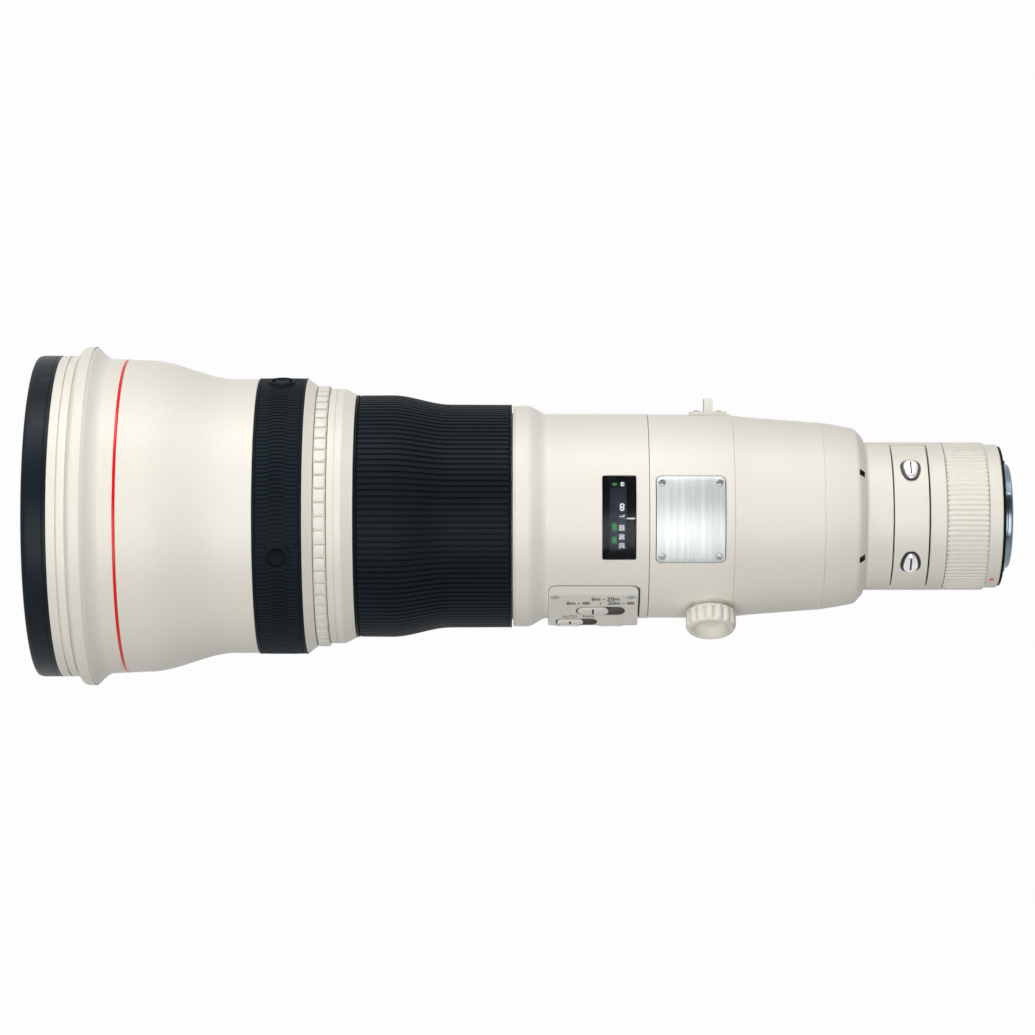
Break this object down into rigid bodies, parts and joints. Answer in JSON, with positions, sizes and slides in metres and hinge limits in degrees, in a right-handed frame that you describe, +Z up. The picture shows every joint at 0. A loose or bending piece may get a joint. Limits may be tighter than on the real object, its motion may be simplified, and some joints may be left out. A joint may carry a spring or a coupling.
{
  "type": "super telephoto lens",
  "caption": "Large off-white telephoto camera lens with ribbed rubber focus ring, distance window, side switch panel, rotating tripod collar with foot, drop-in filter drawer and bayonet mount.",
  "frame": {"origin": "centre of the camera mount's flange face", "axes": "+X along the optical axis towards the camera, so the front points to -X; +Z up, with the distance window on top and the tripod foot below; the switch panel is on the -Y side"},
  "size_m": [0.4667, 0.163, 0.1795],
  "materials": {
    "off_white_paint": "off-white stoved paint with a very fine texture",
    "white_plastic": "moulded, satin",
    "red_paint": "glossy red enamel",
    "black_rubber": "matt moulded rubber",
    "black_plastic": "satin black moulding",
    "black_anodised": "matt black anodised",
    "aluminium_part": "machined",
    "bare_steel": "satin stainless steel",
    "bright_metal": "bright plated and lightly brushed",
    "silver_plate": "silver plate brushed across the lens",
    "gold_contacts": "gold plated",
    "circuit_board": "lacquered board",
    "coated_glass": "polished and coated optical glass",
    "clear_window": "clear window, glossy",
    "clear_glass": "clear filter glass"
  },
  "bodies": {
    "barrel": {"bumper_ring": "black_rubber", "front_barrel": "off_white_paint", "red_ring": "red_paint", "front_retaining_ring": "black_anodised", "front_glass": "coated_glass", "front_group_cell": "black_anodised", "front_group_glass": "coated_glass", "front_grip": "black_rubber", "middle_barrel": "off_white_paint", "focus_motor": "bare_steel", "main_barrel": "off_white_paint", "window_frame": "black_plastic", "window_glass": "clear_window", "switch_panel": "off_white_paint", "barrel_screws": "bare_steel", "switch_boards": "circuit_board", "taper_barrel": "off_white_paint", "rear_cover": "off_white_paint", "neck_barrel": "off_white_paint", "rear_grip": "off_white_paint", "rear_ring": "off_white_paint", "mount_seal": "black_rubber", "bayonet_mount": "bright_metal", "contact_ring": "black_plastic", "contact_pins": "gold_contacts", "rear_cell": "black_anodised", "rear_glass": "coated_glass", "iris_housing": "black_anodised", "iris_blades": "black_anodised", "stabiliser_frame": "black_anodised"},
    "stop_button_1_body": {"stop_button_1": "black_rubber"},
    "stop_button_2_body": {"stop_button_2": "black_rubber"},
    "stop_button_3_body": {"stop_button_3": "black_rubber"},
    "stop_button_4_body": {"stop_button_4": "black_rubber"},
    "preset_ring_body": {"preset_ring": "off_white_paint"},
    "focus_ring": {"focus_sleeve": "black_anodised", "focus_grip": "black_rubber"},
    "distance_scale": {"distance_drum": "black_plastic"},
    "focus_group": {"focus_cell": "black_anodised", "focus_glass": "coated_glass"},
    "collar": {"collar_ring": "off_white_paint", "nameplate": "silver_plate", "collar_screws": "bare_steel", "strap_lugs": "off_white_paint", "tripod_foot": "off_white_paint"},
    "clamp": {"clamp_pad": "black_plastic"},
    "knob": {"lock_knob": "off_white_paint"},
    "filter_drawer": {"filter_holder": "off_white_paint", "filter_glass": "clear_glass"},
    "release_left": {"release_button_left": "bright_metal"},
    "release_right": {"release_button_right": "bright_metal"},
    "range_slider": {"range_switch": "white_plastic"},
    "focus_mode_slider": {"focus_mode_switch": "white_plastic"},
    "stabiliser_slider": {"stabiliser_switch": "white_plastic"},
    "stabiliser_mode_slider": {"stabiliser_mode_switch": "white_plastic"},
    "preset_slider": {"preset_switch": "white_plastic"},
    "set_button_body": {"set_button": "black_plastic"},
    "iris_drive": {"iris_ring": "bare_steel"},
    "stabiliser_x": {"stabiliser_carriage": "aluminium_part"},
    "stabiliser_lens": {"stabiliser_cell": "black_anodised"}
  },
  "joints": [
    {"name": "stop_button_1_press", "type": "slide", "parent": "barrel", "child": "stop_button_1_body", "axis": [0, 0.2874, -0.9578], "range_m": [0, 0.001], "stiffness_N_per_m": 600},
    {"name": "stop_button_2_press", "type": "slide", "parent": "barrel", "child": "stop_button_2_body", "axis": [0, -0.9578, -0.2874], "range_m": [0, 0.001], "stiffness_N_per_m": 600},
    {"name": "stop_button_3_press", "type": "slide", "parent": "barrel", "child": "stop_button_3_body", "axis": [0, -0.2874, 0.9578], "range_m": [0, 0.001], "stiffness_N_per_m": 600},
    {"name": "stop_button_4_press", "type": "slide", "parent": "barrel", "child": "stop_button_4_body", "axis": [0, 0.9578, 0.2874], "range_m": [0, 0.001], "stiffness_N_per_m": 600},
    {"name": "preset_ring_turn", "type": "hinge", "parent": "barrel", "child": "preset_ring_body", "pos_m": [-0.32355, 0, 0], "axis": [1, 0, 0], "range_deg": [-8, 8], "stiffness_Nm_per_rad": 0.5},
    {"name": "focus_ring_turn", "type": "hinge", "parent": "barrel", "child": "focus_ring", "pos_m": [-0.27, 0, 0], "axis": [1, 0, 0], "range_deg": [-60, 60]},
    {"name": "distance_scale_turn", "type": "hinge", "parent": "barrel", "child": "distance_scale", "pos_m": [-0.183, 0, 0], "axis": [1, 0, 0], "range_deg": [-30, 30]},
    {"name": "focus_group_slide", "type": "slide", "parent": "barrel", "child": "focus_group", "axis": [1, 0, 0], "range_m": [-0.006, 0.006]},
    {"name": "collar_turn", "type": "hinge", "parent": "barrel", "child": "collar", "pos_m": [-0.1485, 0, 0], "axis": [1, 0, 0], "continuous": true},
    {"name": "clamp_slide", "type": "slide", "parent": "collar", "child": "clamp", "axis": [0, 0.8829, -0.4695], "range_m": [0, 0.0003]},
    {"name": "knob_turn", "type": "hinge", "parent": "collar", "child": "knob", "pos_m": [-0.139, -0.04953, 0.02634], "axis": [0, 0.8829, -0.4695], "range_deg": [0, 90]},
    {"name": "filter_drawer_lift", "type": "slide", "parent": "barrel", "child": "filter_drawer", "axis": [0, 0, 1], "range_m": [0, 0.07]},
    {"name": "release_left_press", "type": "slide", "parent": "filter_drawer", "child": "release_left", "axis": [0, 0.7771, 0.6293], "range_m": [0, 0.0016], "stiffness_N_per_m": 800},
    {"name": "release_right_press", "type": "slide", "parent": "filter_drawer", "child": "release_right", "axis": [0, -0.7771, 0.6293], "range_m": [0, 0.0016], "stiffness_N_per_m": 800},
    {"name": "range_slide", "type": "slide", "parent": "barrel", "child": "range_slider", "axis": [1, 0, 0], "range_m": [0, 0.007]},
    {"name": "focus_mode_slide", "type": "slide", "parent": "barrel", "child": "focus_mode_slider", "axis": [1, 0, 0], "range_m": [0, 0.006]},
    {"name": "stabiliser_slide", "type": "slide", "parent": "barrel", "child": "stabiliser_slider", "axis": [1, 0, 0], "range_m": [0, 0.006]},
    {"name": "stabiliser_mode_slide", "type": "slide", "parent": "barrel", "child": "stabiliser_mode_slider", "axis": [1, 0, 0], "range_m": [0, 0.006]},
    {"name": "preset_slide", "type": "slide", "parent": "barrel", "child": "preset_slider", "axis": [1, 0, 0], "range_m": [0, 0.006]},
    {"name": "set_button_press", "type": "slide", "parent": "barrel", "child": "set_button_body", "axis": [0, 0.8387, 0.5446], "range_m": [0, 0.0006], "stiffness_N_per_m": 600},
    {"name": "iris_turn", "type": "hinge", "parent": "barrel", "child": "iris_drive", "pos_m": [-0.119, 0, 0], "axis": [1, 0, 0], "range_deg": [0, 35]},
    {"name": "stabiliser_y_slide", "type": "slide", "parent": "barrel", "child": "stabiliser_x", "axis": [0, 1, 0], "range_m": [-0.0015, 0.0015], "stiffness_N_per_m": 3000},
    {"name": "stabiliser_z_slide", "type": "slide", "parent": "stabiliser_x", "child": "stabiliser_lens", "axis": [0, 0, 1], "range_m": [-0.0015, 0.0015], "stiffness_N_per_m": 3000}
  ],
  "couplings": [
    {"joint": "distance_scale_turn", "follows": "focus_ring_turn", "ratio": 0.5},
    {"joint": "focus_group_slide", "follows": "focus_ring_turn", "m_per_rad": 0.0057296},
    {"joint": "clamp_slide", "follows": "knob_turn", "m_per_rad": 0.00015915}
  ]
}
